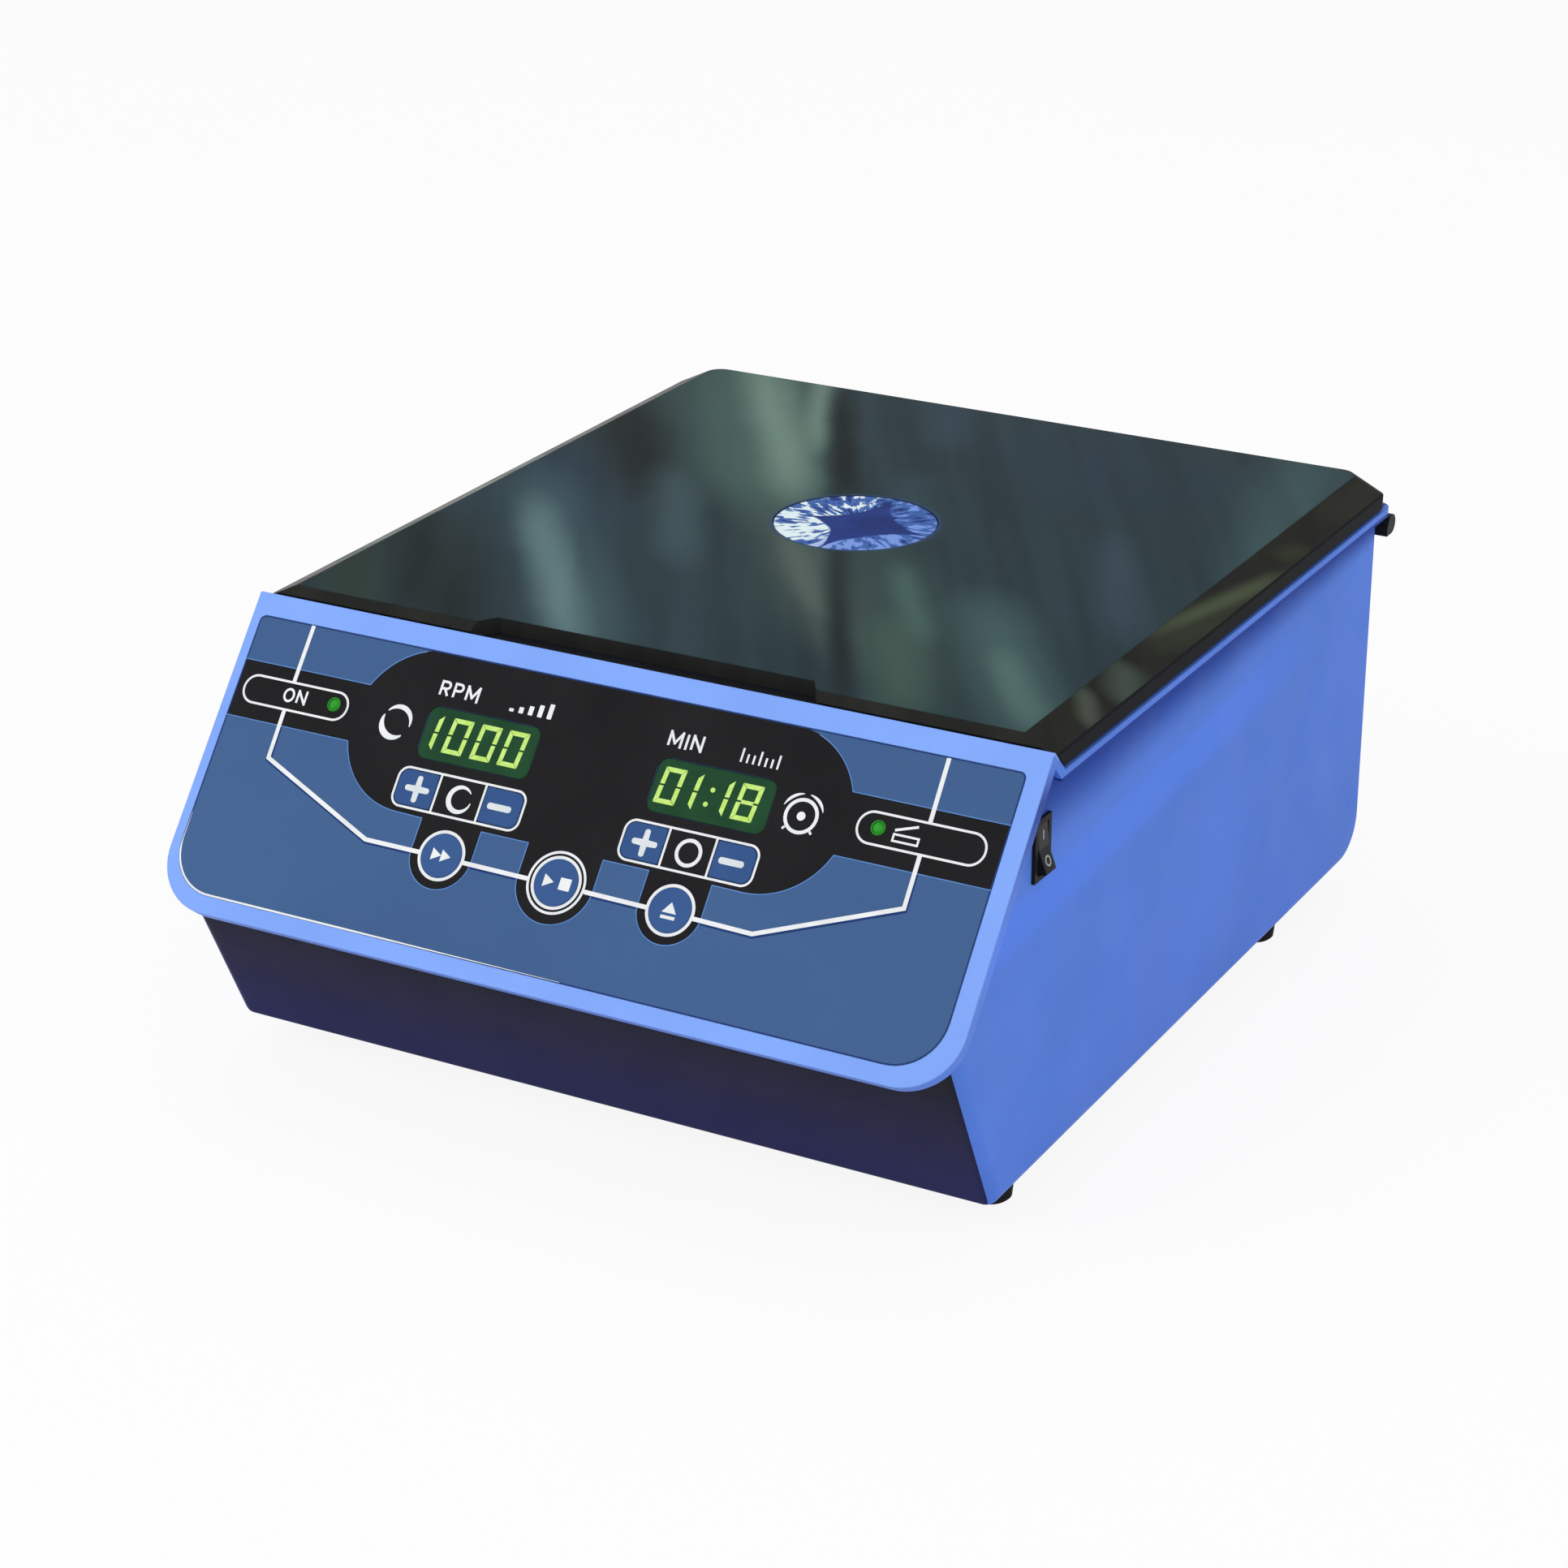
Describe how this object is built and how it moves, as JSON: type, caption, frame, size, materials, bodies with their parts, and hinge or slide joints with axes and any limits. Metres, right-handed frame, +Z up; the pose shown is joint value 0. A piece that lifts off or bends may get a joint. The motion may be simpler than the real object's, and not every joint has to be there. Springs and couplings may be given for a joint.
{
  "type": "cytocentrifuge",
  "caption": "Benchtop cytocentrifuge with a sloping key panel, hinged lid with a round window, steel bowl and a rotor of tilting slide holders.",
  "frame": {"origin": "on the table, under the middle of the whole object's box", "axes": "+X to the right as seen from the control panel, +Y to the rear, +Z up"},
  "size_m": [0.3819, 0.4722, 0.2051],
  "materials": {
    "case_blue": "moulded, satin",
    "bezel_blue": "moulded, satin gloss",
    "panel_print": "printed polyester film, satin",
    "black_steel": "powder coated",
    "black_rubber": "moulded, matt",
    "stainless_steel": "brushed",
    "zinc_steel": "zinc plated",
    "circuit_board": "solder resist",
    "black_plastic": "moulded",
    "display_green": "tinted filter, glossy",
    "lamp_green": "clear lens, glossy",
    "smoked_plastic": "moulded, glossy",
    "liner_grey": "moulded, satin",
    "blue_acrylic": "polished",
    "rocker_black": "moulded, gloss",
    "anodised_aluminium": "clear anodised",
    "key_blue": "printed film cap",
    "key_navy": "printed film cap",
    "spring_steel": "polished spring steel",
    "slide_glass": "float glass",
    "white_polypropylene": "moulded, translucent"
  },
  "bodies": {
    "housing": {"housing_shell": "case_blue", "front_bezel": "bezel_blue", "panel_overlay": "panel_print", "base_plate": "black_steel", "rubber_feet": "black_rubber", "bowl": "stainless_steel", "motor_body": "black_steel", "motor_plate": "zinc_steel", "motor_dampers": "black_rubber", "shaft_boot": "black_rubber", "latch_frame": "zinc_steel", "latch_solenoid": "black_steel", "hinge_brackets": "black_steel", "hinge_pins": "stainless_steel", "control_board": "circuit_board", "tact_switches": "black_plastic", "speed_display": "display_green", "time_display": "display_green", "status_lamps": "lamp_green", "power_board": "circuit_board", "power_inlet": "black_plastic", "switch_frame": "black_plastic"},
    "lid": {"lid_shell": "smoked_plastic", "lid_liner": "liner_grey", "lid_window": "blue_acrylic", "window_ring": "black_plastic", "lid_gasket": "black_rubber", "lid_striker": "zinc_steel", "lid_hinge_arms": "black_steel"},
    "bolt": {"latch_bolt": "stainless_steel"},
    "rocker": {"power_rocker": "rocker_black"},
    "rotor": {"motor_shaft": "stainless_steel", "rotor_disc": "anodised_aluminium", "holder_yokes": "anodised_aluminium", "rotor_nut": "black_plastic"},
    "speed_up_button": {"speed_up_key": "key_blue"},
    "speed_down_button": {"speed_down_key": "key_blue"},
    "time_up_button": {"time_up_key": "key_blue"},
    "time_down_button": {"time_down_key": "key_blue"},
    "short_spin_button": {"short_spin_key": "key_navy"},
    "start_stop_button": {"start_stop_key": "key_navy"},
    "lid_open_button": {"lid_open_key": "key_navy"},
    "holder_1": {"slide_clip_1": "spring_steel", "glass_slide_1": "slide_glass", "sample_chamber_1": "white_polypropylene"},
    "holder_2": {"slide_clip_2": "spring_steel", "glass_slide_2": "slide_glass", "sample_chamber_2": "white_polypropylene"},
    "holder_3": {"slide_clip_3": "spring_steel", "glass_slide_3": "slide_glass", "sample_chamber_3": "white_polypropylene"},
    "holder_4": {"slide_clip_4": "spring_steel", "glass_slide_4": "slide_glass", "sample_chamber_4": "white_polypropylene"},
    "holder_5": {"slide_clip_5": "spring_steel", "glass_slide_5": "slide_glass", "sample_chamber_5": "white_polypropylene"},
    "holder_6": {"slide_clip_6": "spring_steel", "glass_slide_6": "slide_glass", "sample_chamber_6": "white_polypropylene"}
  },
  "joints": [
    {"name": "lid_hinge", "type": "hinge", "parent": "housing", "child": "lid", "pos_m": [0, 0.23134, 0.18], "axis": [-1, 0, 0], "range_deg": [0, 78]},
    {"name": "latch_slide", "type": "slide", "parent": "housing", "child": "bolt", "axis": [1, 0, 0], "range_m": [0, 0.016], "stiffness_N_per_m": 60, "springref_m": -0.002},
    {"name": "rocker_tilt", "type": "hinge", "parent": "housing", "child": "rocker", "pos_m": [0.1865, -0.14966, 0.16125], "axis": [0, 1, 0], "range_deg": [0, 24]},
    {"name": "speed_up_press", "type": "slide", "parent": "housing", "child": "speed_up_button", "axis": [0, 0.7782, -0.628], "range_m": [0, 0.0006], "stiffness_N_per_m": 1200, "springref_m": -0.0003},
    {"name": "speed_down_press", "type": "slide", "parent": "housing", "child": "speed_down_button", "axis": [0, 0.7782, -0.628], "range_m": [0, 0.0006], "stiffness_N_per_m": 1200, "springref_m": -0.0003},
    {"name": "time_up_press", "type": "slide", "parent": "housing", "child": "time_up_button", "axis": [0, 0.7782, -0.628], "range_m": [0, 0.0006], "stiffness_N_per_m": 1200, "springref_m": -0.0003},
    {"name": "time_down_press", "type": "slide", "parent": "housing", "child": "time_down_button", "axis": [0, 0.7782, -0.628], "range_m": [0, 0.0006], "stiffness_N_per_m": 1200, "springref_m": -0.0003},
    {"name": "short_spin_press", "type": "slide", "parent": "housing", "child": "short_spin_button", "axis": [0, 0.7782, -0.628], "range_m": [0, 0.0006], "stiffness_N_per_m": 1200, "springref_m": -0.0003},
    {"name": "start_stop_press", "type": "slide", "parent": "housing", "child": "start_stop_button", "axis": [0, 0.7782, -0.628], "range_m": [0, 0.0006], "stiffness_N_per_m": 1200, "springref_m": -0.0003},
    {"name": "lid_open_press", "type": "slide", "parent": "housing", "child": "lid_open_button", "axis": [0, 0.7782, -0.628], "range_m": [0, 0.0006], "stiffness_N_per_m": 1200, "springref_m": -0.0003},
    {"name": "rotor_spin", "type": "hinge", "parent": "housing", "child": "rotor", "pos_m": [0, 0.04784, 0.11], "axis": [0, 0, 1], "continuous": true},
    {"name": "holder_tilt_1", "type": "hinge", "parent": "rotor", "child": "holder_1", "pos_m": [0.118, 0.04784, 0.121], "axis": [0, 1, 0], "range_deg": [0, 15]},
    {"name": "holder_tilt_2", "type": "hinge", "parent": "rotor", "child": "holder_2", "pos_m": [0.059, 0.15003, 0.121], "axis": [-0.866, 0.5, 0], "range_deg": [0, 15]},
    {"name": "holder_tilt_3", "type": "hinge", "parent": "rotor", "child": "holder_3", "pos_m": [-0.059, 0.15003, 0.121], "axis": [-0.866, -0.5, 0], "range_deg": [0, 15]},
    {"name": "holder_tilt_4", "type": "hinge", "parent": "rotor", "child": "holder_4", "pos_m": [-0.118, 0.04784, 0.121], "axis": [0, -1, 0], "range_deg": [0, 15]},
    {"name": "holder_tilt_5", "type": "hinge", "parent": "rotor", "child": "holder_5", "pos_m": [-0.059, -0.05435, 0.121], "axis": [0.866, -0.5, 0], "range_deg": [0, 15]},
    {"name": "holder_tilt_6", "type": "hinge", "parent": "rotor", "child": "holder_6", "pos_m": [0.059, -0.05435, 0.121], "axis": [0.866, 0.5, 0], "range_deg": [0, 15]}
  ]
}
